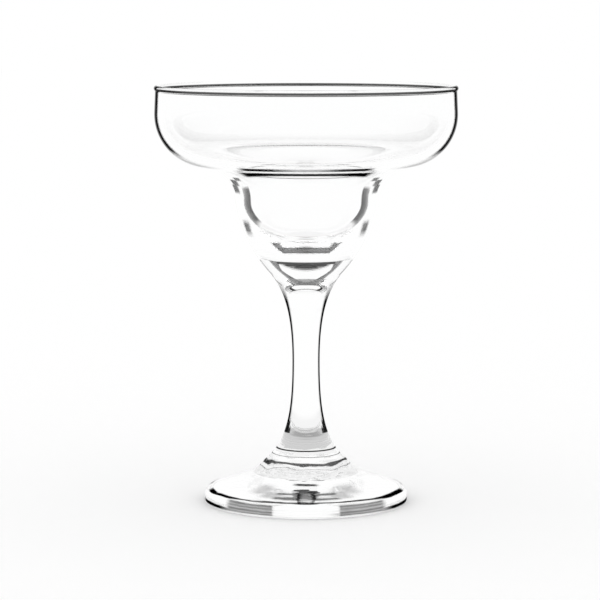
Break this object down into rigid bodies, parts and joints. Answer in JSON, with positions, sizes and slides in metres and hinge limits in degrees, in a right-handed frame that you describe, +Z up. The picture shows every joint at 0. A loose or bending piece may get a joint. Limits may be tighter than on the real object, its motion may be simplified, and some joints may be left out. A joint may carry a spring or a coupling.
{
  "type": "margarita glass",
  "caption": "Stemmed margarita glass: a wide saucer bowl over a small lower cup, on a waisted solid stem and a round foot.",
  "frame": {"origin": "centre of the foot's resting ring, on the surface that the glass stands on", "axes": "+Z up along the axis of the glass, from the foot to the rim; X and Y are any two directions across it"},
  "size_m": [0.1194, 0.1194, 0.165],
  "materials": {
    "clear_glass": "fire-polished"
  },
  "bodies": {
    "root": {"bowl": "clear_glass", "stem": "clear_glass", "foot": "clear_glass"}
  },
  "joints": []
}
